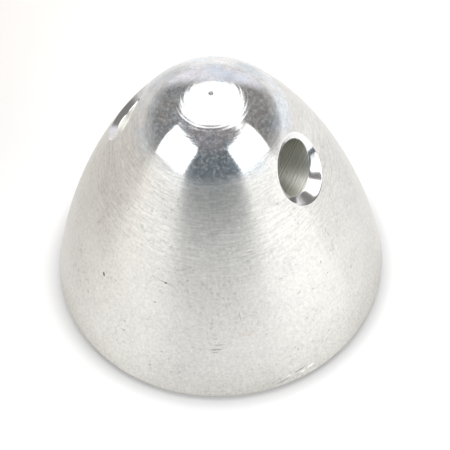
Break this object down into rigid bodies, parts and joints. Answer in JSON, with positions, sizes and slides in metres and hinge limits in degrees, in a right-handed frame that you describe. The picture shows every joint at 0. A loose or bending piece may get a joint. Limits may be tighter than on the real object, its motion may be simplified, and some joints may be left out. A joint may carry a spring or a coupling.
{
  "type": "propeller nut",
  "caption": "Domed aluminium propeller nut, turned in one piece, with a blind threaded bore in its flat base and a countersunk cross hole for a tommy bar.",
  "frame": {"origin": "centre of the flat base that bears on the propeller hub", "axes": "+Z along the shaft axis from the base to the nose, +X along the cross hole for the tommy bar"},
  "size_m": [0.025, 0.025, 0.0226],
  "materials": {
    "turned_aluminium": "bare aluminium, fine-turned and lightly polished, with a brighter nose and faint stains"
  },
  "bodies": {
    "root": {"propeller_nut": "turned_aluminium"}
  },
  "joints": []
}
